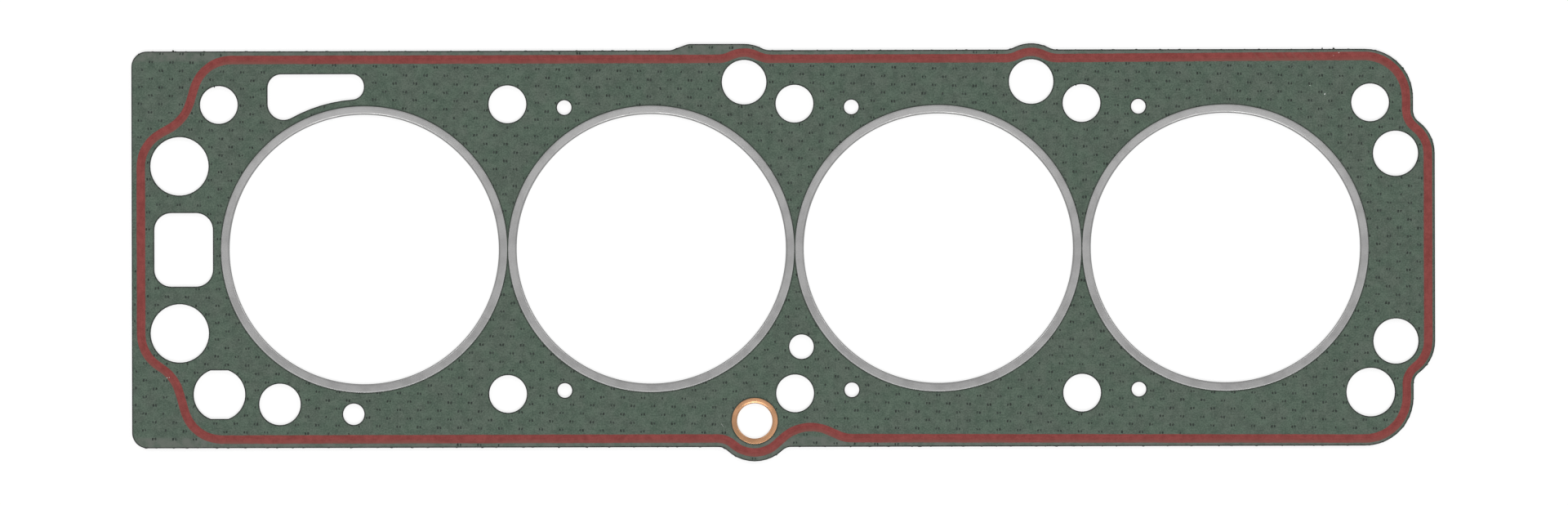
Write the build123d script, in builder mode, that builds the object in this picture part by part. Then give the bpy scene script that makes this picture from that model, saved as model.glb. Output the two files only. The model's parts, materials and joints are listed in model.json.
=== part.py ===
from build123d import *
from math import acos, tan
import os

# Cylinder head gasket for an in-line four, lying flat, in millimetres.
# X runs along the bore row, Y across it and Z up. The origin is the middle of the bore row,
# on the plane that the gasket lies on.

# Bores and the folded steel rings round them
bore_count = 4
bore_clear = 87.2  # inside a ring
ring_flange = 2.8  # from the clear bore to the ring's rim
ring_gap = 0.2  # between the rims of neighbouring rings
ring_steel = 0.2
fold_fit = 0.3  # room between the sheet's edge and the fold round it

# Sheet of fibre facing on its steel core
sheet_thick = 1.2
sheet_width = 128.5
left_margin = 28.3  # from the end bolts to the left edge
right_margin = 13.9  # from the end bolts to the right edge, beside the lugs
left_round = 5.0
right_round = 15.7

# Head bolts in two rows, and the two dowels in the lower row's ends
bolt_hole = 12.2
bolt_row_spacing = 93.8
end_bolt_outset = 0.5  # end bolts stand this far outside half a pitch beyond the end bores
dowel_hole = 15.7
dowel_slot = 16.7  # the left dowel hole is this wide along X and a dowel_hole high

# Coolant ways: steam holes, end holes, a rounded window and a slot along the first bore
steam_hole = 4.7
steam_offset = 18.4  # to the right of a bolt
steam_inset = 1.1  # nearer the bores than the bolts
water_hole = 18.9
water_outset = 12.8  # outside the end bolts
water_spacing = 54.1
window_width = 19.0
window_height = 23.8
window_round = 5.5
window_outset = 11.5
slot_length = 31.2  # from the first bore's axis to the slot's left edge
slot_height = 8.05  # at the bore's axis
slot_land = 2.3  # from the ring's rim to the slot
slot_upper_round = 4.4
slot_lower_round = 5.2
full_round = 0.49  # radius of the slot's round right end, as a share of the slot's height there

# Oil ways: drains above the upper bolts, end holes in the right lugs, small feeds below
drain_hole = 14.4
drain_offset = 16.3  # to the left of a bolt
drain_inset = 10.35  # from the upper edge
end_oil_hole = 14.6
end_oil_outset = 8.2  # outside the end bolts
end_oil_inset = 33.85  # from the long edges
return_hole = 13.4
return_offset = 19.6  # to the right of the left dowel
return_inset = 14.15
sense_hole = 6.9
sense_offset = 43.5
sense_inset = 10.9
pilot_hole = 7.9
pilot_offset = 2.1
pilot_inset = 15.1

# Copper eyelet round the oil feed
feed_clear = 11.4
feed_flange = 1.75
feed_copper = 0.2
feed_offset = 13.1  # to the left of the middle bolt
feed_inset = 8.45  # from the lower edge

# Swells of the outline: how far each stands out, and the round at its foot
slope_share = 0.98  # of the steepest slope that a swell's two rounds leave room for
drain_rise = 2.05
drain_foot = 6.0
feed_rise = 4.65
feed_foot = 4.0
lug_rise = 7.0
lug_foot = 4.5
tab_length = 18.1  # from the first drain to the corner of the flat tab beside it
tab_ramp = 5.6
tab_round = 4.0

# Sealing bead: a low ridge that follows the outline, cuts in past the left bolts
# and steps round a boss beside the eyelet
bead_width = 2.8
bead_height = 0.12
bead_inset = 2.8
bead_left_inset = 3.0
bead_end_inset = 2.25
bead_turn = 12.7  # from a bolt row to where the bead leaves the left side
bead_waist_run = 11.0  # from the left bolt to the bead's inner corner
bead_waist = 4.9  # from the upper bolt row to that corner
bead_corner_run = 5.3  # from the left bolt to the corner on the long side
dowel_run = 3.4  # how much further out the bead passes the left dowel
dowel_waist = 6.0
bead_turn_round = 12.2
bead_waist_round = 14.0
bead_corner_round = 12.5
boss_offset = 15.6  # from the eyelet to the bead's corner over the boss
boss_height = 6.2
boss_run = 13.6
boss_round = 13.5
boss_foot = 10.0

# Places that follow from the sizes
bore_pitch = bore_clear + 2 * ring_flange + ring_gap
first_bore_x = -bore_pitch * (bore_count - 1) / 2
rim_r = bore_clear / 2 + ring_flange
bolt_y = bolt_row_spacing / 2
end_x = bore_count * bore_pitch / 2 + end_bolt_outset
edge_y = sheet_width / 2
left_x = -end_x - left_margin
right_x = end_x + right_margin
sheet_low = ring_steel
sheet_top = ring_steel + sheet_thick
inner_columns = [first_bore_x + bore_pitch * (gap + 0.5) for gap in range(bore_count - 1)]
middle = len(inner_columns) // 2
middle_x = inner_columns[middle]
head_bolts = [(x, bolt_y) for x in (-end_x, *inner_columns, end_x)] + [(x, -bolt_y) for x in inner_columns]
steam_y = bolt_y - steam_inset
steam_holes = [(x + steam_offset, y) for x in inner_columns for y in (steam_y, -steam_y)]
drain_y = edge_y - drain_inset
drains_x = [x - drain_offset for x in inner_columns[middle:]]
end_oil_x = end_x + end_oil_outset
lug_y = edge_y - end_oil_inset
lug_reach = right_x - end_oil_x
feed = (middle_x - feed_offset, feed_inset - edge_y)
round_holes = [
    (feed_clear + 2 * (feed_copper + fold_fit), [feed]),
    (bolt_hole, head_bolts),
    (dowel_hole, [(end_x, -bolt_y)]),
    (steam_hole, steam_holes),
    (water_hole, [(-end_x - water_outset, y) for y in (water_spacing / 2, -water_spacing / 2)]),
    (drain_hole, [(x, drain_y) for x in drains_x]),
    (end_oil_hole, [(end_oil_x, y) for y in (lug_y, -lug_y)]),
    (return_hole, [(-end_x + return_offset, return_inset - edge_y)]),
    (sense_hole, [(-end_x + sense_offset, sense_inset - edge_y)]),
    (pilot_hole, [(middle_x + pilot_offset, -bolt_y + pilot_inset)]),
]


def climb(reach, rise, foot):
    """Slope, in radians, from an edge up to an arc round a hole: all but the steepest that foot allows."""
    return slope_share * acos((reach + foot) / (reach + rise + foot))


def runs(reach, rise, foot, inset=0):
    """Distances along an edge, from a hole to the crest corner and to the foot corner of its swell."""
    slope = climb(reach, rise, foot)
    crest = (reach + rise - inset) * tan(slope / 2)
    return crest, crest + rise / tan(slope)


def swell(x, edge, reach, rise, foot, inset=0):
    """Corners (x, y, round) of an upper edge that swells round one hole, from left to right."""
    foot_run = runs(reach, rise, foot, inset)[1]
    peak = edge - inset + foot_run * tan(climb(reach, rise, foot))
    return [
        (x - foot_run, edge - inset, foot + inset),
        (x, peak, reach + rise - inset),
        (x + foot_run, edge - inset, foot + inset),
    ]


def drain_swells(drain_places, inset=0):
    """Corners of the upper edge's swells round the drains at these places along X."""
    corners = []
    for x in drain_places:
        corners += swell(x, edge_y, drain_inset, drain_rise, drain_foot, inset)
    return corners


def below(corners):
    """The same corners on the lower edge, from right to left."""
    return [(x, -y, round_r) for x, y, round_r in reversed(corners)]


def right_end(inset=0):
    """Corners of the upper half of the right end: the big round, then the step out to the lug."""
    crest, foot = runs(lug_reach, lug_rise, lug_foot, inset)
    return [
        (right_x - inset, edge_y - inset, right_round - inset),
        (right_x - inset, lug_y + foot, lug_foot + inset),
        (right_x + lug_rise - inset, lug_y + crest, lug_reach + lug_rise - inset),
    ]


def sheet_corners():
    """Corners of the punched outline, clockwise from the upper left."""
    crest, foot = runs(drain_inset, drain_rise, drain_foot)
    drain_x = drains_x[0]
    tab_x = drain_x - tab_length
    return [
        (left_x, edge_y, left_round),
        (tab_x - tab_ramp, edge_y, tab_round),
        (tab_x, edge_y + drain_rise, tab_round),
        (drain_x + crest, edge_y + drain_rise, drain_inset + drain_rise),
        (drain_x + foot, edge_y, drain_foot),
        *drain_swells(drains_x[1:]),
        *right_end(),
        *below(right_end()),
        *below(swell(feed[0], edge_y, feed_inset, feed_rise, feed_foot)),
        (left_x, -edge_y, left_round),
    ]


def bead_neck(out, waist):
    """Corners of the bead from the left side, in past an upper left hole, to the long side."""
    return [
        (left_x + bead_left_inset, bolt_y - bead_turn, bead_turn_round),
        (-end_x - bead_waist_run - out, bolt_y - waist, bead_waist_round),
        (-end_x - bead_corner_run - out, edge_y - bead_inset, bead_corner_round),
    ]


def bead_corners():
    """Corners of the bead's middle line, clockwise from the left side's upper end."""
    line_y = edge_y - bead_inset
    boss_x = feed[0] + boss_offset
    return [
        *bead_neck(0, bead_waist),
        *drain_swells(drains_x, bead_inset),
        *right_end(bead_end_inset),
        *below(right_end(bead_end_inset)),
        (boss_x + boss_run, -line_y, boss_foot),
        (boss_x, boss_height - line_y, boss_round),
        *below(swell(feed[0], edge_y, feed_inset, feed_rise, feed_foot, bead_inset))[1:],
        *below(bead_neck(dowel_run, dowel_waist)),
    ]


def rounded_path(corners):
    """Closed line through the corners, each rounded to its own radius."""
    return FilletPolyline(
        *[(x, y) for x, y, round_r in corners],
        radius=[round_r for x, y, round_r in corners],
        close=True,
    )


def folded_ring(clear, flange, metal):
    """Thin metal folded to a U round the sheet's edge at one hole, on the Z axis."""
    with BuildPart() as ring:
        with BuildSketch(Plane.XZ):
            with Locations((clear / 2, sheet_low - metal)):
                Rectangle(flange, sheet_thick + 2 * metal, align=(Align.MIN, Align.MIN))
            with Locations((clear / 2 + metal, sheet_low)):
                Rectangle(flange, sheet_thick, align=(Align.MIN, Align.MIN), mode=Mode.SUBTRACT)
        revolve(axis=Axis.Z)
    return ring


def seal_bead(level, height):
    """Low ridge of silicone along the bead line; a negative height lays it on the under face."""
    with BuildPart() as bead:
        with BuildLine(Plane.XY.offset(level)) as route:
            rounded_path(bead_corners())
        along = route.line % 0
        with BuildSketch(Plane(origin=route.line @ 0, x_dir=Vector(0, 0, 1).cross(along), z_dir=along)):
            Polygon((-bead_width / 2, 0), (bead_width / 2, 0), (0, height), align=None)
        sweep(clean=False)
    return bead


os.makedirs("parts", exist_ok=True)

with BuildSketch() as slot:
    with Locations((first_bore_x, 0)):
        Rectangle(slot_length, rim_r + slot_land + slot_height, align=(Align.MAX, Align.MIN))
        Circle(rim_r + slot_land, mode=Mode.SUBTRACT)
    fillet(slot.vertices().group_by(Axis.X)[-1], full_round * slot_height)
    fillet(slot.vertices().group_by(Axis.X)[0].sort_by(Axis.Y)[0], slot_lower_round)
    fillet(slot.vertices().group_by(Axis.X)[0].sort_by(Axis.Y)[-1], slot_upper_round)

with BuildSketch() as dowel_way:
    Circle(dowel_slot / 2)
    Rectangle(dowel_slot, dowel_hole, mode=Mode.INTERSECT)

with BuildPart() as composite_sheet:
    with BuildSketch(Plane.XY.offset(sheet_low)):
        with BuildLine():
            rounded_path(sheet_corners())
        make_face()
        with GridLocations(bore_pitch, 0, bore_count, 1):
            Circle(bore_clear / 2 + ring_steel + fold_fit, mode=Mode.SUBTRACT)
        for size, places in round_holes:
            with Locations(*places):
                Circle(size / 2, mode=Mode.SUBTRACT)
        with Locations((-end_x - window_outset, 0)):
            RectangleRounded(window_width, window_height, window_round, mode=Mode.SUBTRACT)
        with Locations((-end_x, -bolt_y)):
            add(dowel_way.sketch, mode=Mode.SUBTRACT)
        add(slot.sketch, mode=Mode.SUBTRACT)
    extrude(amount=sheet_thick)
composite_sheet.part.label = "composite_sheet"
export_step(composite_sheet.part, "parts/composite_sheet.step")

with BuildPart() as fire_rings:
    with GridLocations(bore_pitch, 0, bore_count, 1):
        add(folded_ring(bore_clear, ring_flange, ring_steel).part)
fire_rings.part.label = "fire_rings"
export_step(fire_rings.part, "parts/fire_rings.step")

with BuildPart() as oil_feed_eyelet:
    with Locations(feed):
        add(folded_ring(feed_clear, feed_flange, feed_copper).part)
oil_feed_eyelet.part.label = "oil_feed_eyelet"
export_step(oil_feed_eyelet.part, "parts/oil_feed_eyelet.step")

for name, level, height in (
    ("upper_seal_bead", sheet_top, bead_height),
    ("lower_seal_bead", sheet_low, -bead_height),
):
    bead = seal_bead(level, height)
    bead.part.label = name
    export_step(bead.part, f"parts/{name}.step")
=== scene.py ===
"""Cylinder head gasket from straight above: fibre sheet, folded rings, eyelet and printed bead."""

import json
import logging
import math
import random
from dataclasses import dataclass, field
from enum import Enum

import bpy
import numpy as np
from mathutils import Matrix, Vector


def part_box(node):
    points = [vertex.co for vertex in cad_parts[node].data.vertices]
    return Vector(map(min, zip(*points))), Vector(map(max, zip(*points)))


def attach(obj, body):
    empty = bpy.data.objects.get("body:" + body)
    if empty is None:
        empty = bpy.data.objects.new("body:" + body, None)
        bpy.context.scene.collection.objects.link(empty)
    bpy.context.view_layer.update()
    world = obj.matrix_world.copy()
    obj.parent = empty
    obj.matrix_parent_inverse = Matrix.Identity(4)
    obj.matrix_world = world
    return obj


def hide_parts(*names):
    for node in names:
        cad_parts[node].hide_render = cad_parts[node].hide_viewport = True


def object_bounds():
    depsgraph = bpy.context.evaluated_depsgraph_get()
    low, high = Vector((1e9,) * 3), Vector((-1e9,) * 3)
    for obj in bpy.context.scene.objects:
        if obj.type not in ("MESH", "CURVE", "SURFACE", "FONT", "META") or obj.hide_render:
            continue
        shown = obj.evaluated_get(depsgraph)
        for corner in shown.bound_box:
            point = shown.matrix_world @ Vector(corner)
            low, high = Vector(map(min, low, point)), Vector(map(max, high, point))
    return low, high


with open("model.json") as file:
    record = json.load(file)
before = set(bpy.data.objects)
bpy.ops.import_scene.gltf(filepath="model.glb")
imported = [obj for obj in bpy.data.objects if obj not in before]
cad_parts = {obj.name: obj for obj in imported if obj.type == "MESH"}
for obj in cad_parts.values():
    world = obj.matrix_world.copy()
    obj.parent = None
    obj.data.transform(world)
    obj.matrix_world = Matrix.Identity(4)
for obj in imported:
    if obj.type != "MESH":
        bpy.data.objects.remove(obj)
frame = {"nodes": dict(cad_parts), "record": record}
cad_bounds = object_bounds()

MM = 0.001
LEVEL_TOLERANCE = 0.002
LOG = logging.getLogger("gasket")

Colour = tuple[float, float, float, float]
Span = tuple[float, float]
Shares = tuple[float, ...]
Point = tuple[float, float]
Place = tuple[float, float, float]
Triangle = tuple[int, int, int]
Socket = bpy.types.NodeSocket


class Face(Enum):
    """The two faces of the sheet, by the way that each looks along Z."""

    UPPER = 1
    LOWER = -1


class Slot(Enum):
    """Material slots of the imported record."""

    FACING = "fibre_facing"
    STEEL = "ring_steel"
    COPPER = "eyelet_copper"
    SILICONE = "bead_silicone"


class Octaves(Enum):
    """How fine the noise of a finish gets."""

    FEW = 2.0
    MANY = 3.0


@dataclass(frozen=True)
class Hole:
    """A round hole with a rim round it, in millimetres."""

    x: float
    y: float
    clear: float
    rim: float


@dataclass(frozen=True)
class BoreRow:
    """The row of bores, in millimetres."""

    holes: tuple[Hole, ...]

    @property
    def first(self) -> float:
        """Place of the first bore along X."""
        return self.holes[0].x

    @property
    def pitch(self) -> float:
        """Distance between two bores."""
        return self.holes[1].x - self.holes[0].x

    @property
    def rim(self) -> float:
        """Radius of a ring's rim."""
        return self.holes[0].rim

    @property
    def reach(self) -> float:
        """Half the length of the row, rims included."""
        return len(self.holes) * self.pitch / 2


def read_bores() -> BoreRow:
    """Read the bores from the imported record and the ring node's box.

    Returns:
        The row of bores.
    """
    mounts = [m for m in frame["record"]["mounts"] if m["name"].startswith("cylinder_bore_")]
    mounts.sort(key=lambda m: m["pos_m"][0])
    low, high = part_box("fire_rings")
    rim = (high.y - low.y) / 2 / MM
    holes = [Hole(m["pos_m"][0] / MM, m["pos_m"][1] / MM, m["dims"]["r_mm"], rim) for m in mounts]
    return BoreRow(tuple(holes))


def read_eyelet() -> Hole:
    """Read the eyelet's hole from its node.

    Returns:
        The hole.
    """
    low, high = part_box("oil_feed_eyelet")
    x, y = (low.x + high.x) / 2 / MM, (low.y + high.y) / 2 / MM
    mesh = frame["nodes"]["oil_feed_eyelet"].data
    clear = min(math.hypot(v.co.x / MM - x, v.co.y / MM - y) for v in mesh.vertices)
    return Hole(x, y, clear, (high.x - low.x) / 2 / MM)


class ShaderGraph:
    """One node tree, with short calls for the nodes that the finishes and the studio use."""

    # A mix node has sockets for each type of data: these are the numbers of those for colours.
    COLOUR_INPUTS = (6, 7)
    COLOUR_RESULT = 2

    def __init__(self, owner: bpy.types.Material | bpy.types.World, output: str) -> None:
        """Start an empty tree.

        Args:
            owner: The material or the world that holds the tree.
            output: Blender's name for its output node.
        """
        self.owner = owner
        self.owner.use_nodes = True
        self.tree = self.owner.node_tree
        self.tree.nodes.clear()
        self.output = self.node(output)

    @classmethod
    def for_material(cls, name: str) -> "ShaderGraph":
        """Start the tree of a new material with this name."""
        return cls(bpy.data.materials.new(name), "ShaderNodeOutputMaterial")

    def node(self, kind: str, **settings: object) -> bpy.types.Node:
        """Add one node.

        Args:
            kind: Blender's name for the node type.
            settings: Properties to set on it.

        Returns:
            The new node.
        """
        made = self.tree.nodes.new(kind)
        for key, value in settings.items():
            setattr(made, key, value)
        return made

    def feed(self, socket: Socket, value: object) -> None:
        """Link a socket to another, or set its own value.

        Args:
            socket: The input socket.
            value: An output socket, or a plain value.
        """
        if isinstance(value, Socket):
            self.tree.links.new(value, socket)
        else:
            socket.default_value = value

    def math(self, operation: str, *values: object, clamp: bool = False) -> Socket:
        """Do one sum.

        Args:
            operation: Blender's name for the operation.
            values: Up to three inputs.
            clamp: Whether the result is held between 0 and 1.

        Returns:
            The result.
        """
        made = self.node("ShaderNodeMath", operation=operation, use_clamp=clamp)
        for socket, value in zip(made.inputs, values):
            self.feed(socket, value)
        return made.outputs[0]

    def blend(self, *terms: tuple[Socket, float]) -> Socket:
        """Add numbers up by their shares.

        Args:
            terms: Each number with its share.

        Returns:
            The sum.
        """
        products = [self.math("MULTIPLY", number, share) for number, share in terms]
        total = products[0]
        for product in products[1:]:
            total = self.math("ADD", total, product)
        return total

    def distance(self, x: Socket, y: Socket) -> Socket:
        """Measure how far a place, given by its X and Y, lies from the Z axis."""
        squares = self.math("ADD", self.math("MULTIPLY", x, x), self.math("MULTIPLY", y, y))
        return self.math("SQRT", squares)

    def spread(self, value: Socket, span: Span, result: Span = (0.0, 1.0)) -> Socket:
        """Carry a range softly onto another.

        Args:
            value: What is carried.
            span: Start and end of its range.
            result: Results at the start and at the end.

        Returns:
            The result.
        """
        made = self.node("ShaderNodeMapRange", interpolation_type="SMOOTHSTEP")
        for socket, number in zip(made.inputs, (value, *span, *result)):
            self.feed(socket, number)
        return made.outputs["Result"]

    def millimetres(self) -> Socket:
        """Give the place on the piece, in millimetres.

        Returns:
            A vector.
        """
        made = self.node("ShaderNodeVectorMath", operation="SCALE")
        self.feed(made.inputs[0], self.node("ShaderNodeTexCoord").outputs["Object"])
        self.feed(made.inputs["Scale"], 1 / MM)
        return made.outputs[0]

    def parts(self, vector: Socket) -> list[Socket]:
        """Split a vector.

        Args:
            vector: The vector.

        Returns:
            Its X, Y and Z.
        """
        made = self.node("ShaderNodeSeparateXYZ")
        self.feed(made.inputs[0], vector)
        return list(made.outputs)

    def joined(self, *values: object) -> Socket:
        """Join up to three numbers to a vector.

        Args:
            values: X, Y and Z.

        Returns:
            The vector.
        """
        made = self.node("ShaderNodeCombineXYZ")
        for socket, value in zip(made.inputs, values):
            self.feed(socket, value)
        return made.outputs[0]

    def noise(self, vector: Socket, scale: float, octaves: Octaves = Octaves.MANY) -> Socket:
        """Lay soft noise over a place.

        Args:
            vector: The place.
            scale: Blotches per unit.
            octaves: How fine it gets.

        Returns:
            A number round 0.5.
        """
        made = self.node("ShaderNodeTexNoise")
        self.feed(made.inputs["Vector"], vector)
        self.feed(made.inputs["Scale"], scale)
        self.feed(made.inputs["Detail"], octaves.value)
        return made.outputs[0]

    def attribute(self, name: str) -> Socket:
        """Read a number that is kept on the mesh under this name."""
        return self.node("ShaderNodeAttribute", attribute_name=name).outputs["Fac"]

    def mix(self, share: object, first: object, second: object) -> Socket:
        """Mix two colours.

        Args:
            share: How much of the second.
            first: Colour at 0.
            second: Colour at 1.

        Returns:
            The mixed colour.
        """
        made = self.node("ShaderNodeMix", data_type="RGBA")
        self.feed(made.inputs[0], share)
        for number, colour in zip(self.COLOUR_INPUTS, (first, second)):
            self.feed(made.inputs[number], colour)
        return made.outputs[self.COLOUR_RESULT]

    def bump(self, height: Socket, depth: float, strength: float) -> Socket:
        """Tilt the surface by a height.

        Args:
            height: The height, 0 to 1.
            depth: What a height of 1 stands for, in mm.
            strength: Share of the tilt that is kept.

        Returns:
            The tilted normal.
        """
        made = self.node("ShaderNodeBump")
        self.feed(made.inputs["Height"], height)
        self.feed(made.inputs["Distance"], depth * MM)
        self.feed(made.inputs["Strength"], strength)
        return made.outputs[0]

    def seen(self) -> Socket:
        """Tell the rays that see the background: straight, in a mirror or through glass.

        Returns:
            1 for such a ray and 0 for any other.
        """
        path = self.node("ShaderNodeLightPath")
        plain = self.math("MAXIMUM", path.outputs["Is Camera Ray"], path.outputs["Is Glossy Ray"])
        return self.math("MAXIMUM", plain, path.outputs["Is Transmission Ray"])

    def surface(self, **sockets: object) -> bpy.types.Material:
        """Close the tree with one principled surface.

        Args:
            sockets: Values of its sockets, with underscores for spaces.

        Returns:
            The finished material.
        """
        shader = self.node("ShaderNodeBsdfPrincipled")
        for key, value in sockets.items():
            self.feed(shader.inputs[key.replace("_", " ")], value)
        self.feed(self.output.inputs["Surface"], shader.outputs[0])
        return self.owner


@dataclass(frozen=True)
class FacingFinish:
    """Green fibre facing, mottled, with painted sheen along its long edges, dark at its cut edges (crushed
    cut fibre and painted edge shade) and with painted contact shade along the rims of the rings.

    In all finishes a scale is in blotches a millimetre, a length is in millimetres, and a span is the
    part of a noise that is carried onto a share.
    """

    green: tuple[Colour, Colour] = ((0.057, 0.086, 0.065, 1.0), (0.107, 0.148, 0.114, 1.0))
    grey: tuple[Colour, Colour] = ((0.062, 0.085, 0.067, 1.0), (0.113, 0.144, 0.116, 1.0))
    # This lighter grey is painted sheen along the long edges, where light catches the bent edge strip.
    edge_sheen: Colour = (0.130, 0.144, 0.126, 1.0)
    # This near black is painted at the rolled cut edges, partly crushed cut fibre and partly painted shade
    # of the edge as it rolls down. It also colours the painted contact shade round the rims.
    cut: Colour = (0.020, 0.020, 0.020, 1.0)
    core: Colour = (0.20, 0.20, 0.19, 1.0)
    blot_scale: float = 0.14
    mottle_scale: float = 0.45
    grain_scale: float = 2.1
    tone_shares: Shares = (0.35, 0.65)
    tone_span: Span = (0.34, 0.66)
    hue_span: Span = (0.36, 0.64)
    # Where along Y the painted edge sheen comes in, and how patchy it is by the mottle.
    edge_sheen_from: float = 61.0
    edge_sheen_soft: float = 0.8
    edge_sheen_span: Span = (0.38, 0.62)
    edge_sheen_shares: Span = (0.4, 0.9)
    # Width, fully dark share and strength of the painted contact shade just outside each rim.
    rim_contact_shade_width: float = 0.34
    rim_contact_shade_full: float = 0.35
    rim_contact_shade_share: float = 0.55
    cut_scale: float = 0.8
    cut_span: Span = (0.35, 0.65)
    cut_shares: Span = (0.72, 1.0)
    wall_tilt: float = 0.3
    core_half: float = 0.1
    roughness: float = 0.82
    gloss: float = 0.18
    relief: float = 0.05
    relief_shares: Shares = (0.7, 0.3)
    relief_strength: float = 0.7

    def rim_contact_shade(self, g: ShaderGraph, x: Socket, y: Socket, rim: float) -> Socket:
        """Find the painted contact shade on the facing just outside a rim.

        Args:
            g: The material's graph.
            x: Distance from the hole's axis along X, in mm.
            y: The same along Y.
            rim: Radius of the rim, in mm.

        Returns:
            1 on the line and 0 away from it.
        """
        off = g.math("SUBTRACT", g.distance(x, y), rim + self.rim_contact_shade_width / 2)
        span = (self.rim_contact_shade_width * self.rim_contact_shade_full, self.rim_contact_shade_width)
        return g.spread(g.math("ABSOLUTE", off), span, (1.0, 0.0))

    def rim_contact_shade_lines(self, g: ShaderGraph, x: Socket, y: Socket, bores: BoreRow, eyelet: Hole) -> Socket:
        """Find the painted contact shade round all the rings and the eyelet.

        Args:
            g: The material's graph.
            x: The place along X, in mm.
            y: The place along Y, in mm.
            bores: The row of bores.
            eyelet: The hole with the copper eyelet.

        Returns:
            1 on a line and 0 away from it.
        """
        half = bores.pitch / 2
        wrapped = g.math("WRAP", g.math("SUBTRACT", x, bores.first), half, -half)
        inside = g.math("LESS_THAN", g.math("ABSOLUTE", x), bores.reach)
        line = g.math("MULTIPLY", self.rim_contact_shade(g, wrapped, y, bores.rim), inside)
        feed_x = g.math("SUBTRACT", x, eyelet.x)
        feed_y = g.math("SUBTRACT", y, eyelet.y)
        return g.math("MAXIMUM", line, self.rim_contact_shade(g, feed_x, feed_y, eyelet.rim))

    def core_line(self, g: ShaderGraph, z: Socket, level: float) -> Socket:
        """Find the steel core where the cut edges show it.

        Args:
            g: The material's graph.
            z: The place along Z, in mm.
            level: Middle of the core, in mm.

        Returns:
            1 on the core and 0 away from it.
        """
        upright = g.parts(g.node("ShaderNodeNewGeometry").outputs["Normal"])[2]
        wall = g.math("LESS_THAN", g.math("ABSOLUTE", upright), self.wall_tilt)
        off = g.math("ABSOLUTE", g.math("SUBTRACT", z, level))
        return g.math("MULTIPLY", wall, g.math("LESS_THAN", off, self.core_half))

    def build(self, bores: BoreRow, eyelet: Hole, core_level: float) -> bpy.types.Material:
        """Make the material.

        Args:
            bores: The row of bores.
            eyelet: The hole with the copper eyelet.
            core_level: Middle of the sheet's core, in mm.

        Returns:
            The material.
        """
        g = ShaderGraph.for_material(Slot.FACING.value)
        place = g.millimetres()
        x, y, z = g.parts(place)
        mottle = g.noise(place, self.mottle_scale)
        grain = g.noise(place, self.grain_scale)
        tone = g.spread(g.blend(*zip((mottle, grain), self.tone_shares)), self.tone_span)
        hue = g.spread(g.noise(place, self.blot_scale), self.hue_span)
        colour = g.mix(hue, g.mix(tone, *self.green), g.mix(tone, *self.grey))
        border = (self.edge_sheen_from - self.edge_sheen_soft, self.edge_sheen_from + self.edge_sheen_soft)
        # Painted sheen, carried by the worn mask: a lighter grey band along both long edges, patchy by the
        # mottle, where light catches the bent edge strip.
        edge = g.spread(g.math("ABSOLUTE", y), border)
        worn = g.math("MULTIPLY", edge, g.spread(mottle, self.edge_sheen_span, self.edge_sheen_shares))
        colour = g.mix(worn, colour, self.edge_sheen)
        # Painted contact shade just outside every rim, in the dark cut colour.
        line = self.rim_contact_shade_lines(g, x, y, bores, eyelet)
        colour = g.mix(g.math("MULTIPLY", line, self.rim_contact_shade_share), colour, self.cut)
        # Dark cut edges: partly crushed cut fibre, partly painted shade of the rolled-down edge, a little
        # uneven by noise.
        shade = g.spread(g.noise(place, self.cut_scale, Octaves.FEW), self.cut_span, self.cut_shares)
        colour = g.mix(g.math("MULTIPLY", g.attribute("cut"), shade), colour, self.cut)
        colour = g.mix(self.core_line(g, z, core_level), colour, self.core)
        height = g.blend(*zip((grain, mottle), self.relief_shares))
        return g.surface(
            Base_Color=colour,
            Roughness=self.roughness,
            Specular_IOR_Level=self.gloss,
            Normal=g.bump(height, self.relief, self.relief_strength),
        )


@dataclass(frozen=True)
class MetalFinish:
    """Thin rolled metal folded round a hole, with fine lines round it and a few duller patches."""

    slot: Slot
    light: Colour
    shade: Colour
    roughness: float = 0.42
    duller: Span = (-0.05, 0.07)
    lines: float = 5.0
    patch_scale: float = 0.22
    patch_span: Span = (0.35, 0.65)
    grain_scale: float = 2.6
    shares: Shares = (0.45, 0.25, 0.30)
    tone_span: Span = (0.30, 0.70)
    relief: float = 0.006
    relief_strength: float = 0.5

    def build(self) -> bpy.types.Material:
        """Make the material.

        Returns:
            The material.
        """
        g = ShaderGraph.for_material(self.slot.value)
        place = g.millimetres()
        x, y = g.parts(place)[:2]
        reach = g.distance(x, y)
        across = g.math("DIVIDE", x, reach)
        upward = g.math("DIVIDE", y, reach)
        turned = g.joined(g.math("MULTIPLY", reach, self.lines), across, upward)
        rings = g.noise(turned, 1.0, Octaves.FEW)
        patches = g.noise(place, self.patch_scale)
        grain = g.noise(place, self.grain_scale, Octaves.FEW)
        tone = g.blend(*zip((rings, patches, grain), self.shares))
        dull = tuple(self.roughness + change for change in self.duller)
        return g.surface(
            Base_Color=g.mix(g.spread(tone, self.tone_span), self.shade, self.light),
            Metallic=1.0,
            Roughness=g.spread(patches, self.patch_span, dull),
            Normal=g.bump(rings, self.relief, self.relief_strength),
        )


RING_STEEL = MetalFinish(Slot.STEEL, (0.262, 0.261, 0.260, 1.0), (0.220, 0.219, 0.218, 1.0))
EYELET_COPPER = MetalFinish(
    Slot.COPPER, (0.39, 0.211, 0.115, 1.0), (0.323, 0.176, 0.096, 1.0), roughness=0.32
)


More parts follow.
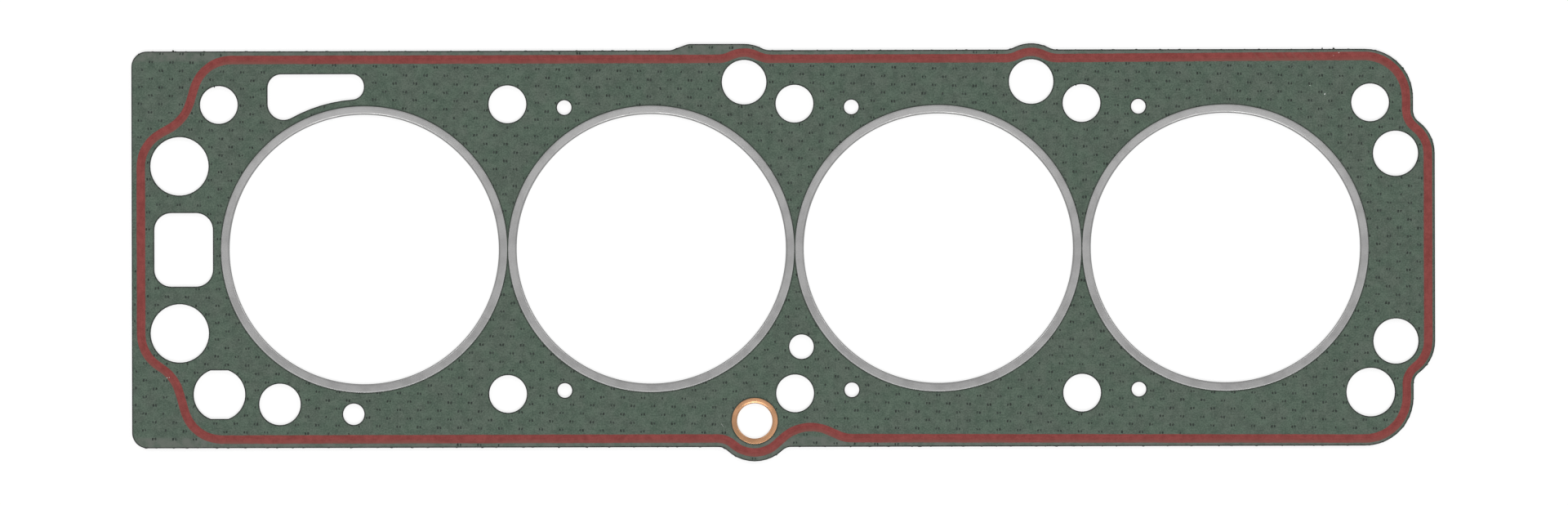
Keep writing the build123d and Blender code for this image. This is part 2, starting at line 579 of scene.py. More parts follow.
@dataclass(frozen=True)
class SiliconeFinish:
    """Dark red printed silicone with faint streaks along the print, and painted side shading that turns the
    slopes facing -Y browner in patches.
    """

    dark: Colour = (0.178, 0.039, 0.035, 1.0)
    light: Colour = (0.262, 0.064, 0.058, 1.0)
    # brown also colours the painted side shading on the slopes that face -Y, as well as the thin print in
    # the skips.
    brown: Colour = (0.200, 0.076, 0.063, 1.0)
    thin: Colour = (0.150, 0.078, 0.066, 1.0)
    streak_along: float = 0.10
    streak_across: float = 3.2
    mottle_scale: float = 0.5
    grain_scale: float = 3.0
    shares: Shares = (0.25, 0.40, 0.35)
    tone_span: Span = (0.34, 0.66)
    # How patchy the painted side shading is along the bead.
    patch_scale: float = 0.06
    patch_span: Span = (0.35, 0.65)
    patch_shares: Span = (0.25, 0.95)
    side_shade_span: Span = (0.1, -1.0)
    rim_span: Span = (0.86, 1.0)
    rim_shares: Span = (0.0, 0.6)
    skip_from: float = 150.0
    skip_to: float = 168.0
    skip_soft: float = 3.0
    skip_pitch: float = 3.1
    skip_slant: float = 0.8
    skip_span: Span = (0.55, 0.95)
    skip_share: float = 0.55
    roughness: float = 0.68
    gloss: float = 0.12
    relief: float = 0.012
    relief_strength: float = 0.5

    def skips(self, g: ShaderGraph, place: Socket) -> Socket:
        """Find the slanted streaks where the print is thin, near the upper right corner.

        Args:
            g: The material's graph.
            place: The place on the bead, in mm.

        Returns:
            1 on a streak and 0 away from it.
        """
        x, y = g.parts(place)[:2]
        begun = g.spread(x, (self.skip_from - self.skip_soft, self.skip_from))
        lasting = g.spread(x, (self.skip_to, self.skip_to + self.skip_soft), (1.0, 0.0))
        stretch = g.math("MULTIPLY", begun, lasting)
        stretch = g.math("MULTIPLY", stretch, g.math("GREATER_THAN", y, 0.0))
        slanted = g.math("ADD", x, g.math("MULTIPLY", y, self.skip_slant))
        wave = g.math("SINE", g.math("MULTIPLY", slanted, 2 * math.pi / self.skip_pitch))
        return g.math("MULTIPLY", stretch, g.spread(wave, self.skip_span))

    def build(self) -> bpy.types.Material:
        """Make the material.

        Returns:
            The material.
        """
        g = ShaderGraph.for_material(Slot.SILICONE.value)
        place = g.millimetres()
        across = g.attribute("across")
        drawn = g.math("MULTIPLY", g.attribute("along"), self.streak_along)
        aside = g.math("MULTIPLY", across, self.streak_across)
        streaks = g.noise(g.joined(drawn, aside, 0.0), 1.0)
        mottle = g.noise(place, self.mottle_scale)
        grain = g.noise(place, self.grain_scale, Octaves.FEW)
        tone = g.blend(*zip((streaks, mottle, grain), self.shares))
        colour = g.mix(g.spread(tone, self.tone_span), self.dark, self.light)
        patchy = g.spread(g.noise(place, self.patch_scale), self.patch_span, self.patch_shares)
        # Painted side shading: slopes that face -Y turn browner, patchy along the bead.
        side_shade = g.math("MULTIPLY", g.spread(g.attribute("tilt"), self.side_shade_span), patchy)
        colour = g.mix(side_shade, colour, self.brown)
        skipped = g.math("MULTIPLY", self.skips(g, place), self.skip_share)
        colour = g.mix(skipped, colour, self.brown)
        rim = g.spread(g.math("ABSOLUTE", across), self.rim_span, self.rim_shares)
        colour = g.mix(rim, colour, self.thin)
        height = g.math("ADD", streaks, grain)
        return g.surface(
            Base_Color=colour,
            Roughness=self.roughness,
            Specular_IOR_Level=self.gloss,
            Normal=g.bump(height, self.relief, self.relief_strength),
        )


@dataclass(frozen=True)
class TangFinish:
    """Dark ends of the core's tangs, each a little different."""

    dark: Colour = (0.018, 0.024, 0.020, 1.0)
    light: Colour = (0.040, 0.052, 0.044, 1.0)
    grain_scale: float = 3.5
    grain_span: Span = (0.3, 0.7)
    grain_shares: Span = (-0.12, 0.12)
    roughness: float = 0.7
    gloss: float = 0.2

    def build(self) -> bpy.types.Material:
        """Make the material.

        Returns:
            The material.
        """
        g = ShaderGraph.for_material("tang_tips")
        grain = g.noise(g.millimetres(), self.grain_scale, Octaves.FEW)
        change = g.spread(grain, self.grain_span, self.grain_shares)
        share = g.math("ADD", g.attribute("fade"), change, clamp=True)
        colour = g.mix(share, self.dark, self.light)
        return g.surface(Base_Color=colour, Roughness=self.roughness, Specular_IOR_Level=self.gloss)


@dataclass(frozen=True)
class FleckFinish:
    """Bare fluff or dust in one colour."""

    name: str
    colour: Colour
    worn: float = 0.6
    grain_scale: float = 4.0
    grain_span: Span = (0.3, 0.7)
    grain_shares: Span = (0.0, 0.35)
    roughness: float = 0.9
    gloss: float = 0.2

    def build(self) -> bpy.types.Material:
        """Make the material.

        Returns:
            The material.
        """
        g = ShaderGraph.for_material(self.name)
        grain = g.noise(g.millimetres(), self.grain_scale, Octaves.FEW)
        share = g.spread(grain, self.grain_span, self.grain_shares)
        darker = tuple(self.worn * part for part in self.colour[:3]) + (1.0,)
        colour = g.mix(share, self.colour, darker)
        return g.surface(Base_Color=colour, Roughness=self.roughness, Specular_IOR_Level=self.gloss)


DUST = FleckFinish("dust", (0.72, 0.74, 0.72, 1.0))
SCUFF = FleckFinish("scuff", (0.34, 0.36, 0.34, 1.0))
SOOT = FleckFinish("soot", (0.03, 0.03, 0.03, 1.0))
CUT_FIBRE = FleckFinish("cut_fibre", (0.046, 0.048, 0.045, 1.0))


@dataclass
class FlatFace:
    """One flat face of a CAD node: its points, triangles and closed edge loops, in millimetres."""

    points: np.ndarray
    triangles: list[Triangle]
    loops: list[list[int]]
    mitre_limit: float = 0.6

    @classmethod
    def read(cls, node: str, level: float, look: Face) -> "FlatFace":
        """Take the triangles of a node that lie at one level.

        Args:
            node: Name of the CAD node.
            level: Height of the face, in mm.
            look: The way that the face looks.

        Returns:
            The face, with its triangles turned to look up.
        """
        mesh = frame["nodes"][node].data
        mesh.calc_loop_triangles()
        places = np.array([v.co for v in mesh.vertices]) / MM
        found = [t.vertices[:] for t in mesh.loop_triangles]
        flat = [t for t in found if all(abs(places[i][2] - level) < LEVEL_TOLERANCE for i in t)]
        points, index = np.unique(places[:, :2].round(4), axis=0, return_inverse=True)
        index = index.reshape(-1)
        triangles = [tuple(int(index[i]) for i in t[:: look.value]) for t in flat]
        used = sorted({i for t in triangles for i in t})
        renumber = {old: new for new, old in enumerate(used)}
        triangles = [tuple(renumber[i] for i in t) for t in triangles]
        return cls(points[used], triangles, cls.chain(triangles))

    @staticmethod
    def chain(triangles: list[Triangle]) -> list[list[int]]:
        """Chain the open edges of some triangles to loops.

        Args:
            triangles: The triangles.

        Returns:
            Loops of point numbers, each with the face on its left.
        """
        edges = {(t[i], t[(i + 1) % 3]) for t in triangles for i in range(3)}
        onward = {a: b for a, b in edges if (b, a) not in edges}
        loops = []
        while onward:
            start, here = onward.popitem()
            loop = [start]
            while here != start:
                loop.append(here)
                here = onward.pop(here)
            loops.append(loop)
        return loops

    def outline(self) -> list[int]:
        """Give the longest loop along X, which goes round all the others."""
        return max(self.loops, key=lambda loop: np.ptp(self.points[loop][:, 0]))

    def inward(self) -> np.ndarray:
        """Find the way into the face from each point of its loops, mitred at the corners.

        Returns:
            One vector a point, of length 1 or more.
        """
        ways = np.zeros_like(self.points)
        for loop in self.loops:
            p = self.points[loop]
            step = np.roll(p, -1, axis=0) - p
            step /= np.linalg.norm(step, axis=1, keepdims=True)
            left = np.stack([-step[:, 1], step[:, 0]], axis=1)
            both = left + np.roll(left, 1, axis=0)
            both /= np.linalg.norm(both, axis=1, keepdims=True)
            cosine = (both * left).sum(axis=1, keepdims=True)
            ways[loop] = both / np.maximum(cosine, self.mitre_limit)
        return ways

    def segments(self) -> tuple[np.ndarray, np.ndarray]:
        """List the edges of all loops.

        Returns:
            Their starts and their ends.
        """
        starts = np.concatenate([self.points[loop] for loop in self.loops])
        ends = np.concatenate([np.roll(self.points[loop], -1, axis=0) for loop in self.loops])
        return starts, ends

    def depth(self, places: np.ndarray) -> np.ndarray:
        """Measure how deep places lie inside the face.

        Args:
            places: Places in the plane.

        Returns:
            Distance to the nearest edge, negative outside.
        """
        starts, ends = self.segments()
        run = ends - starts
        long = (run * run).sum(axis=1)
        result = np.empty(len(places))
        for i, place in enumerate(places):
            to = place - starts
            share = np.clip((to * run).sum(axis=1) / long, 0, 1)[:, None]
            near = np.linalg.norm(to - share * run, axis=1).min()
            above = (starts[:, 1] > place[1]) != (ends[:, 1] > place[1])
            rise = np.where(above, run[:, 1], 1.0)
            crossing = starts[:, 0] + (place[1] - starts[:, 1]) / rise * run[:, 0]
            odd = np.count_nonzero(above & (crossing > place[0])) % 2
            result[i] = near if odd else -near
        return result


@dataclass
class Shape:
    """A mesh in the making, in millimetres."""

    points: list[Place] = field(default_factory=list)
    faces: list[tuple[int, ...]] = field(default_factory=list)
    smooth: list[bool] = field(default_factory=list)
    values: dict[str, list[float]] = field(default_factory=dict)

    def add(self, points: list[Place], **values: list[float]) -> list[int]:
        """Add a row of points.

        Args:
            points: The points.
            values: Numbers kept on them, by name.

        Returns:
            The numbers of the new points.
        """
        first = len(self.points)
        self.points += points
        for name, numbers in values.items():
            self.values.setdefault(name, []).extend(numbers)
        return list(range(first, len(self.points)))

    def face(self, *corners: int, smooth: bool = True) -> None:
        """Add one face between these points, shaded smooth or flat."""
        self.faces.append(corners)
        self.smooth.append(smooth)

    def strip(self, first: list[int], second: list[int], smooth: bool = True) -> None:
        """Join two closed rows of points.

        Args:
            first: Point numbers of the row on the right.
            second: Point numbers of the row on the left.
            smooth: Whether the faces are shaded smooth.
        """
        for i, a in enumerate(first):
            j = (i + 1) % len(first)
            self.face(a, first[j], second[j], second[i], smooth=smooth)

    def chip(self, base: list[int], top: list[int]) -> None:
        """Close a small chip between two rings of points.

        Args:
            base: Point numbers of the hidden ring.
            top: Point numbers of the ring that shows.
        """
        self.strip(base, top)
        self.face(*top)
        self.face(*reversed(base))

    def piece(
        self, name: str, slot: Slot | None, material: bpy.types.Material, *nodes: str
    ) -> bpy.types.Object:
        """Make the mesh object, hang it under the root body and hide the CAD nodes that it stands for.

        Args:
            name: Name of the piece.
            slot: Material slot of the record; not used.
            material: Its material.
            nodes: CAD nodes that it stands for.

        Returns:
            The object.
        """
        mesh = bpy.data.meshes.new(name)
        mesh.from_pydata([tuple(c * MM for c in p) for p in self.points], [], self.faces)
        mesh.polygons.foreach_set("use_smooth", self.smooth)
        for key, numbers in self.values.items():
            mesh.attributes.new(key, "FLOAT", "POINT").data.foreach_set("value", numbers)
        mesh.materials.append(material)
        made = bpy.data.objects.new(name, mesh)
        bpy.context.scene.collection.objects.link(made)
        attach(made, "root")
        if nodes:
            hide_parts(*nodes)
        return made


@dataclass(frozen=True)
class RollStep:
    """One line along a cut edge: its inset, its drop below the face and how dark the cut edge is painted
    there, partly for crushed cut fibre and partly as painted shade of the rolled-down edge.
    """

    inset: float
    drop: float
    cut: float


@dataclass
class PunchedSheet:
    """The fibre sheet with its cut edges rolled over by the punch."""

    node: str = "composite_sheet"
    roll: tuple[RollStep, ...] = (
        RollStep(0.46, 0.0, 0.0),
        RollStep(0.33, 0.008, 0.8),
        RollStep(0.12, 0.045, 1.0),
        RollStep(0.0, 0.14, 1.0),
    )

    def __post_init__(self) -> None:
        """Read the sheet's levels and its upper face."""
        low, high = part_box(self.node)
        self.low, self.top = low.z / MM, high.z / MM
        self.face = FlatFace.read(self.node, self.top, Face.UPPER)

    @property
    def middle(self) -> float:
        """Level of the core, halfway up."""
        return (self.low + self.top) / 2

    def level(self, look: Face) -> float:
        """Give the height of one face, in mm."""
        return self.top if look is Face.UPPER else self.low

    def build(self, material: bpy.types.Material) -> bpy.types.Object:
        """Make the sheet.

        Args:
            material: The facing's material.

        Returns:
            The piece.
        """
        shape = Shape()
        inward = self.face.inward()
        rows: dict[Face, list[list[int]]] = {}
        for look in Face:
            rows[look] = []
            for step in self.roll:
                flat = self.face.points + inward * step.inset
                z = self.level(look) - look.value * step.drop
                # The cut value sets how much edge darkening each row gets, crushed fibre and painted shade
                # together.
                rows[look].append(shape.add([(x, y, z) for x, y in flat], cut=[step.cut] * len(flat)))
            for t in self.face.triangles:
                shape.face(*(rows[look][0][i] for i in t[:: look.value]), smooth=False)
        for loop in self.face.loops:
            for look in Face:
                way = loop[:: look.value]
                for inner, outer in zip(rows[look], rows[look][1:]):
                    shape.strip([outer[i] for i in way], [inner[i] for i in way])
            upper, lower = rows[Face.UPPER][-1], rows[Face.LOWER][-1]
            shape.strip([lower[i] for i in loop], [upper[i] for i in loop])
        return shape.piece("sheet", Slot.FACING, material, self.node)


@dataclass
class TangTips:
    """Paired ends of the core's tangs that show through the facing in staggered rows."""

    sheet: PunchedSheet
    pitch: float = 6.59
    row: float = 2.711
    start: Point = (-33.88, 54.48)
    skew: float = -1.2
    apart: float = 0.88
    half_width: float = 0.30
    half_height: float = 0.45
    square: float = 0.6
    top_share: float = 0.9
    proud: float = 0.015
    sunk: float = 0.02
    land: float = 0.75
    bead_gap: float = 0.35
    rows: tuple[int, int] = (-9, 50)
    columns: tuple[int, int] = (-34, 42)
    stray_along: float = 0.06
    stray_across: float = 0.05
    uneven: float = 0.08
    shown: float = 0.96
    growth: Span = (0.8, 1.15)
    lean: float = 0.2
    sides: int = 8
    seed: int = 11

    def corners(self) -> list[Point]:
        """Draw one tick of half size 1, a square with soft corners.

        Returns:
            The points round it.
        """
        corners = []
        for k in range(self.sides):
            turn = 2 * math.pi * k / self.sides
            on_circle = (math.cos(turn), math.sin(turn))
            corners.append(tuple(math.copysign(abs(c) ** self.square, c) for c in on_circle))
        return corners

    def spots(self) -> list[Point]:
        """List the ticks that lie on the sheet.

        Returns:
            Their places.
        """
        rng = random.Random(self.seed)
        places = []
        c, s = math.cos(math.radians(self.skew)), math.sin(math.radians(self.skew))
        for j in range(*self.rows):
            for i in range(*self.columns):
                u = self.pitch * (i + 0.5 * (j % 2)) + rng.uniform(-self.stray_along, self.stray_along)
                v = -self.row * j + rng.uniform(-self.stray_across, self.stray_across)
                x, y = self.start[0] + u * c - v * s, self.start[1] + u * s + v * c
                for side in (-0.5, 0.5):
                    if rng.random() < self.shown:
                        lift = rng.uniform(-self.uneven, self.uneven)
                        places.append((x + side * self.apart, y + lift))
        depths = self.sheet.face.depth(np.array(places))
        return [place for place, deep in zip(places, depths) if deep > self.land]

    def build(self, look: Face, bead: FlatFace, material: bpy.types.Material) -> bpy.types.Object:
        """Make the ticks of one face, clear of the bead.

        Args:
            look: Which face.
            bead: The face that the bead covers.
            material: The tangs' material.

        Returns:
            The piece.
        """
        rng = random.Random(self.seed + look.value)
        shape = Shape()
        corners = self.corners()
        spots = self.spots()
        base = self.sheet.level(look)
        for (x, y), deep in zip(spots, bead.depth(np.array(spots))):
            if deep > -self.bead_gap:
                continue
            grow = rng.uniform(*self.growth)
            fade = rng.uniform(0.0, 1.0)
            lean = rng.uniform(-self.lean, self.lean)
            rings = []
            for share, level in ((1.0, -self.sunk), (self.top_share, self.proud)):
                ring = []
                for across, upward in corners:
                    dx = grow * share * self.half_width * across
                    dy = grow * share * self.half_height * upward
                    ring.append((x + dx + lean * dy, y + dy, base + look.value * level))
                rings.append(shape.add(ring, fade=[fade] * len(ring))[:: look.value])
            shape.chip(*rings)
        return shape.piece(f"tang_tips_{look.name.lower()}", None, material)


@dataclass
class FoldedRing:
    """Thin metal folded to a U round the sheet's edge at one hole, with a round nose.

    The flange is dished a little towards the hole. A lead, where a ring has one, is a slope from the flange
    down to the nose.
    """

    name: str
    hole: Hole
    node: str
    nose: float = 0.7
    metal: float = 0.2
    slack: float = 0.02
    rim_round: float = 0.06
    rim_steps: int = 4
    dish: float = 0.08
    dish_end: float = 0.85
    dish_shares: Shares = (0.75, 0.4)
    lead: float = 0.0
    lead_drop: float = 0.0
    crease: float = 0.06
    turns: int = 192
    nose_steps: int = 12

    def flange(self, half: float) -> list[Point]:
        """Draw the upper flange from under its rim to where the nose begins.

        Args:
            half: Height of the flange over the ring's middle, in mm.

        Returns:
            Radius and height of each point, over the ring's middle.
        """
        centre = self.hole.clear + self.nose
        line = [(self.hole.rim, half - self.metal)]
        for step in range(self.rim_steps + 1):
            turn = math.pi / 2 * step / self.rim_steps
            out = self.hole.rim - self.rim_round * (1 - math.cos(turn))
            line.append((out, half - self.rim_round * (1 - math.sin(turn))))
        for share in self.dish_shares:
            out = centre + (self.hole.rim - centre) * share
            line.append((out, half - self.dish * (self.dish_end - share)))
        if self.lead:
            line += [(centre + self.lead + back, half - self.dish) for back in (self.crease, 0.0)]
        return line

    def profile(self, low: float, high: float) -> list[Point]:
        """Draw the section of the ring, from the upper rim by the nose to the lower rim and back inside.

        Args:
            low: Lowest level, in mm.
            high: Highest level, in mm.

        Returns:
            Radius and height of each point of a closed line.
        """
        middle, half = (low + high) / 2, (high - low) / 2
        centre = self.hole.clear + self.nose
        fold = [math.pi / 2 * step / self.nose_steps for step in range(self.nose_steps)]
        bend = fold[1:] if self.lead else fold
        brow = half - self.dish - self.lead_drop
        outer = self.flange(half)
        outer += [(centre - self.nose * math.sin(a), brow * math.cos(a)) for a in bend]
        skin = outer + [(self.hole.clear, 0.0)] + [(r, -z) for r, z in reversed(outer)]
        thin, slim = self.nose - self.metal, half - self.metal - self.slack
        inner = [(centre - thin * math.sin(a), slim * math.cos(a)) for a in fold[::2]]
        back = [(r, -z) for r, z in inner] + [(centre - thin, 0.0)] + list(reversed(inner))
        return [(r, middle + z) for r, z in skin + back]

    def build(self, material: bpy.types.Material, slot: Slot) -> bpy.types.Object:
        """Turn the section round the hole's axis.

        Args:
            material: The metal's material.
            slot: Its slot in the record.

        Returns:
            The piece.
        """
        low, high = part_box(self.node)
        section = self.profile(low.z / MM, high.z / MM)
        shape = Shape()
        rows = []
        for k in range(self.turns):
            turn = 2 * math.pi * k / self.turns
            rows.append(shape.add([(r * math.cos(turn), r * math.sin(turn), z) for r, z in section]))
        for here, onward in zip(rows, rows[1:] + rows[:1]):
            shape.strip(here, onward)
        made = shape.piece(self.name, slot, material, self.node)
        made.matrix_world.translation = (self.hole.x * MM, self.hole.y * MM, 0.0)
        return made


@dataclass
class SealBead:
    """Printed silicone bead: a low dome along the middle line of the CAD bead."""

    node: str
    look: Face
    step: float = 0.6
    blur: int = 2
    dome: float = 2.6
    waver: float = 0.06
    waves: tuple[int, ...] = (31, 77, 190, 410)
    sides: int = 8
    seed: int = 5

    def __post_init__(self) -> None:
        """Read the bead's levels and the face that it covers."""
        low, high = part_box(self.node)
        levels = (low.z / MM, high.z / MM)
        self.base, self.crest = levels[:: self.look.value]
        under = Face.LOWER if self.look is Face.UPPER else Face.UPPER
        self.foot = FlatFace.read(self.node, self.base, under)

    def crest_line(self) -> tuple[np.ndarray, float]:
        """Read the ridge of the CAD bead, in order along its outer edge.

        Returns:
            The places on the ridge, and half the bead's width.
        """
        mesh = frame["nodes"][self.node].data
        ridge = [v.co for v in mesh.vertices if abs(v.co.z / MM - self.crest) < LEVEL_TOLERANCE]
        places = list({tuple((np.array(co[:2]) / MM).round(3)) for co in ridge})
        rim = self.foot.points[self.foot.outline()]
        order = []
        for place in rim:
            near = min(places, key=lambda c: (c[0] - place[0]) ** 2 + (c[1] - place[1]) ** 2)
            if not order or near != order[-1]:
                order.append(near)
        line = np.array(order)
        width = float(np.median([np.linalg.norm(line - place, axis=1).min() for place in rim]))
        return line, width

    def middle(self) -> tuple[np.ndarray, float]:
        """Sample the middle line at even steps, with its corners softened.

        Returns:
            The places, and half the bead's width.
        """
        line, width = self.crest_line()
        closed = np.vstack([line, line[:1]])
        runs = np.concatenate([[0], np.cumsum(np.linalg.norm(np.diff(closed, axis=0), axis=1))])
        count = int(runs[-1] / self.step)
        at = np.linspace(0, runs[-1], count, endpoint=False)
        even = np.stack([np.interp(at, runs, closed[:, k]) for k in (0, 1)], axis=1)
        for _ in range(self.blur):
            even = (np.roll(even, 1, axis=0) + 2 * even + np.roll(even, -1, axis=0)) / 4
        return even, width

    def wobble(self, count: int) -> np.ndarray:
        """Draw how the two edges of the print waver.

        Args:
            count: Number of steps along the bead.

        Returns:
            One row of numbers between -1 and 1 for each edge.
        """
        rng = random.Random(self.seed)
        result = np.zeros((2, count))
        for edge in result:
            for waves in self.waves:
                phase = rng.uniform(0, 2 * math.pi)
                turns = 2 * math.pi * waves * np.arange(count) / count
                edge += np.sin(turns + phase) / len(self.waves)
        return result

    def build(self, material: bpy.types.Material) -> bpy.types.Object:
        """Make the dome and its foot.

        Args:
            material: The silicone's material.

        Returns:
            The piece.
        """
        line, width = self.middle()
        run = np.roll(line, -1, axis=0) - np.roll(line, 1, axis=0)
        run /= np.linalg.norm(run, axis=1, keepdims=True)
        left = np.stack([-run[:, 1], run[:, 0]], axis=1)
        count = len(line)
        wobble = self.wobble(count)
        along = [self.step * i for i in range(count)]
        height = self.crest - self.base
        shape = Shape()
        rows = []
        for k in range(self.sides + 1):
            across = 2 * k / self.sides - 1
            sway = self.waver * wobble[0 if across < 0 else 1] * abs(across)
            flat = line + left * (across * (width + sway))[:, None]
            z = self.base + height * (1 - abs(across) ** self.dome)
            # Which way each slope faces along Y, for the silicone's painted side shading.
            tilt = [across * way for way in left[:, 1]]
            places = [(x, y, z) for x, y in flat]
            rows.append(shape.add(places, along=along, across=[across] * count, tilt=tilt))
        for below, above in zip(rows, rows[1:]):
            shape.strip(*(below, above)[:: self.look.value])
        feet = []
        for row in (rows[-1], rows[0]):
            copies = {name: [numbers[i] for i in row] for name, numbers in shape.values.items()}
            feet.append(shape.add([shape.points[i] for i in row], **copies))
        shape.strip(*feet[:: self.look.value], smooth=False)
        return shape.piece(self.node.replace("seal_", "printed_"), Slot.SILICONE, material, self.node)


@dataclass(frozen=True)
class Spot:
    """One chip: its place, its lift over the sheet's upper face, its half sizes and its turn in degrees."""

    x: float
    y: float
    lift: float
    long: float
    wide: float
    turn: float


@dataclass
class HandlingMarks:
    """Burrs of the punch, dust, soot and a scratch, each a small irregular chip."""

    sheet: PunchedSheet
    dust: tuple[Spot, ...] = (
        Spot(171.8, 49.6, 0.0, 0.35, 0.28, 20.0),
        Spot(-203.4, -41.4, 0.08, 0.22, 0.16, 40.0),
        Spot(-202.7, -41.3, 0.08, 0.20, 0.14, 70.0),
        Spot(167.0, 52.4, 0.0, 0.16, 0.13, 0.0),
        Spot(176.4, 63.0, 0.02, 0.22, 0.16, 30.0),
        Spot(174.7, 62.1, 0.08, 0.16, 0.12, 60.0),
    )
    scratches: tuple[Spot, ...] = (Spot(-23.6, -57.15, -0.02, 0.95, 0.12, -60.0),)
    soot: tuple[Spot, ...] = (
        Spot(-53.6, 43.98, 0.13, 0.18, 0.12, 80.0),
        Spot(-134.8, 43.7, 0.10, 0.16, 0.10, 60.0),
    )
    nubs: tuple[Spot, ...] = (
        Spot(-201.3, 64.4, -0.25, 0.45, 0.3, 0.0),
        Spot(174.7, 64.4, -0.25, 0.45, 0.3, 0.0),
        Spot(171.0, 64.3, -0.25, 0.28, 0.45, 0.0),
        Spot(197.2, 57.95, -0.25, 0.45, 0.3, -52.0),
        Spot(91.2, 52.75, -0.25, 0.35, 0.25, 100.0),
        Spot(-187.9, 52.7, -0.25, 0.30, 0.20, 70.0),
    )
    burr_gap: Span = (2.5, 9.0)
    burr_lift: float = -0.25
    burr_long: Span = (0.25, 0.7)
    burr_wide: Span = (0.07, 0.17)
    burr_lean: float = 9.0
    flat: Span = (-0.01, 0.05)
    chunky: Span = (-0.15, 0.10)
    top_share: float = 0.7
    ragged: Span = (0.75, 1.0)
    sides: int = 10
    seed: int = 23

    def burrs(self) -> tuple[Spot, ...]:
        """Scatter the small burrs of the punch along the sheet's outline.

        Returns:
            The burrs, none of them past the CAD box.
        """
        rng = random.Random(self.seed)
        outline = self.sheet.face.outline()
        line = self.sheet.face.points[outline + outline[:1]]
        steps = np.diff(line, axis=0)
        runs = np.concatenate([[0], np.cumsum(np.linalg.norm(steps, axis=1))])
        spots = []
        at = rng.uniform(*self.burr_gap)
        while at < runs[-1]:
            k = int(np.searchsorted(runs, at)) - 1
            x, y = line[k] + steps[k] * (at - runs[k]) / (runs[k + 1] - runs[k])
            way = math.degrees(math.atan2(steps[k][1], steps[k][0]))
            turn = way + rng.uniform(-self.burr_lean, self.burr_lean)
            long, wide = rng.uniform(*self.burr_long), rng.uniform(*self.burr_wide)
            spots.append(Spot(x, y, self.burr_lift, long, wide, turn))
            at += rng.uniform(*self.burr_gap)
        room = self.burr_long[1]
        low, high = (np.array(corner[:2]) / MM for corner in cad_bounds)
        low, high = low + room, high - room
        return tuple(s for s in spots if low[0] < s.x < high[0] and low[1] < s.y < high[1])

    def chips(
        self, name: str, spots: tuple[Spot, ...], span: Span, finish: FleckFinish
    ) -> bpy.types.Object:
        """Make irregular chips.

        Args:
            name: Name of the piece.
            spots: The chips.
            span: Their lower and upper level, from each chip's own lift.
            finish: Their finish.

        Returns:
            The piece.
        """
        rng = random.Random(self.seed)
        shape = Shape()
        for spot in spots:
            c, s = math.cos(math.radians(spot.turn)), math.sin(math.radians(spot.turn))
            rings = []
            for share, level in zip((1.0, self.top_share), span):
                z = self.sheet.top + spot.lift + level
                ring = []
                for k in range(self.sides):
                    a = 2 * math.pi * k / self.sides
                    u = share * spot.long * math.cos(a) * rng.uniform(*self.ragged)
                    v = share * spot.wide * math.sin(a) * rng.uniform(*self.ragged)
                    ring.append((spot.x + u * c - v * s, spot.y + u * s + v * c, z))
                rings.append(shape.add(ring))
            shape.chip(*rings)
        return shape.piece(name, None, finish.build())

    def build(self) -> list[bpy.types.Object]:
        """Make all the marks.

        Returns:
            One piece for each kind.
        """
        return [
            self.chips("dust_flecks", self.dust, self.flat, DUST),
            self.chips("scratch", self.scratches, self.flat, SCUFF),
            self.chips("ring_specks", self.soot, self.flat, SOOT),
            self.chips("edge_burrs", self.nubs + self.burrs(), self.chunky, CUT_FIBRE),
        ]


@dataclass(frozen=True)
class Lamp:
    """One soft sun: its strength, its tilt from straight down and its turn about Z, in degrees."""

    strength: float
    tilt: float
    turn: float


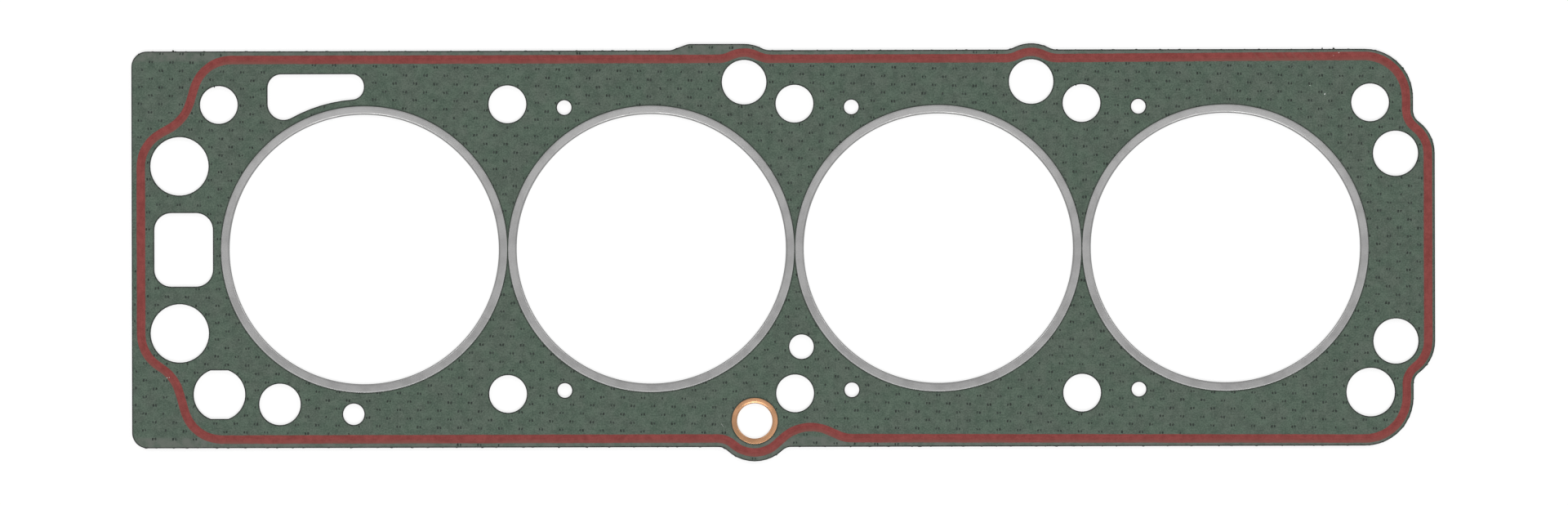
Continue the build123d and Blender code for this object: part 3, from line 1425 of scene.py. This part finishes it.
@dataclass
class Studio:
    """White floor, soft sky, three soft suns and the camera straight above.

    The camera sees a stretch of this width round this middle, in millimetres, turned by some radians. The
    floor's size is in metres.
    """

    middle: Point = (-3.495, -1.288)
    width: float = 507.95
    turn: float = -0.0023
    lens: float = 300.0
    sensor: float = 36.0
    focus_level: float = 1.4
    sky: float = 0.30
    sky_colour: Colour = (1.0, 1.0, 1.0, 1.0)
    lamps: tuple[Lamp, ...] = (
        Lamp(1.56, 30.0, 0.0),
        Lamp(0.75, 55.0, 125.0),
        Lamp(0.75, 55.0, -135.0),
    )
    softness: float = 25.0
    floor_size: float = 12.0
    floor_gap: float = 0.05
    floor_colour: Colour = (0.30, 0.30, 0.30, 1.0)
    floor_glow: float = 0.75

    def floor(self) -> bpy.types.Object:
        """Lay the floor.

        Returns:
            The floor.
        """
        g = ShaderGraph.for_material("white_floor")
        diffuse = g.node("ShaderNodeBsdfDiffuse")
        g.feed(diffuse.inputs["Color"], self.floor_colour)
        glow = g.node("ShaderNodeEmission")
        g.feed(glow.inputs["Strength"], g.math("MULTIPLY", g.seen(), self.floor_glow))
        both = g.node("ShaderNodeAddShader")
        g.feed(both.inputs[0], diffuse.outputs[0])
        g.feed(both.inputs[1], glow.outputs[0])
        g.feed(g.output.inputs["Surface"], both.outputs[0])
        half = self.floor_size / 2
        mesh = bpy.data.meshes.new("floor")
        corners = [(-half, -half, 0), (half, -half, 0), (half, half, 0), (-half, half, 0)]
        mesh.from_pydata(corners, [], [(0, 1, 2, 3)])
        mesh.materials.append(g.owner)
        made = bpy.data.objects.new("floor", mesh)
        made.location.z = cad_bounds[0].z - self.floor_gap * MM
        bpy.context.scene.collection.objects.link(made)
        return made

    def world(self) -> bpy.types.World:
        """Light the scene from all round, white where it is seen or mirrored.

        Returns:
            The world.
        """
        g = ShaderGraph(bpy.data.worlds.new("studio_sky"), "ShaderNodeOutputWorld")
        sky = g.node("ShaderNodeBackground")
        g.feed(sky.inputs["Color"], self.sky_colour)
        g.feed(sky.inputs["Strength"], g.math("MULTIPLY_ADD", g.seen(), 1 - self.sky, self.sky))
        g.feed(g.output.inputs["Surface"], sky.outputs[0])
        bpy.context.scene.world = g.owner
        return g.owner

    def sun(self, lamp: Lamp) -> bpy.types.Object:
        """Hang one sun.

        Args:
            lamp: Its strength and direction.

        Returns:
            The light.
        """
        light = bpy.data.lights.new("sun", "SUN")
        light.energy = lamp.strength
        light.angle = math.radians(self.softness)
        made = bpy.data.objects.new("sun", light)
        made.rotation_euler = (math.radians(lamp.tilt), 0, math.radians(lamp.turn))
        bpy.context.scene.collection.objects.link(made)
        return made

    def camera(self) -> bpy.types.Object:
        """Set the camera straight above.

        Returns:
            The camera.
        """
        data = bpy.data.cameras.new("camera")
        data.lens = self.lens
        data.sensor_width = self.sensor
        data.dof.use_dof = False
        made = bpy.data.objects.new("camera", data)
        distance = self.width * self.lens / self.sensor
        made.location = (self.middle[0] * MM, self.middle[1] * MM, (distance + self.focus_level) * MM)
        made.rotation_euler = (0, 0, self.turn)
        bpy.context.scene.collection.objects.link(made)
        bpy.context.scene.camera = made
        return made

    def build(self) -> None:
        """Set up the whole studio."""
        suns = [self.sun(lamp) for lamp in self.lamps]
        for made in (self.floor(), self.world(), *suns, self.camera()):
            LOG.info("studio: %s", made.name)
        bpy.context.scene.view_settings.view_transform = "Standard"


def main() -> None:
    """Build every piece in order, then the studio."""
    logging.basicConfig(level=logging.INFO, format="%(message)s")
    bores, eyelet = read_bores(), read_eyelet()
    sheet = PunchedSheet()
    made = [sheet.build(FacingFinish().build(bores, eyelet, sheet.middle))]
    steel, copper = RING_STEEL.build(), EYELET_COPPER.build()
    for number, hole in enumerate(bores.holes, 1):
        made.append(FoldedRing(f"fire_ring_{number}", hole, "fire_rings").build(steel, Slot.STEEL))
    collar = FoldedRing(
        "eyelet", eyelet, "oil_feed_eyelet", nose=0.3, dish=0.02, lead=0.38, lead_drop=0.11, turns=96
    )
    made.append(collar.build(copper, Slot.COPPER))
    silicone = SiliconeFinish().build()
    tang = TangFinish().build()
    tips = TangTips(sheet)
    for look, node in ((Face.UPPER, "upper_seal_bead"), (Face.LOWER, "lower_seal_bead")):
        bead = SealBead(node, look)
        made.append(bead.build(silicone))
        made.append(tips.build(look, bead.foot, tang))
    made += HandlingMarks(sheet).build()
    for piece in made:
        LOG.info("piece: %s, %d faces", piece.name, len(piece.data.polygons))
    Studio().build()


if __name__ == "__main__":
    main()
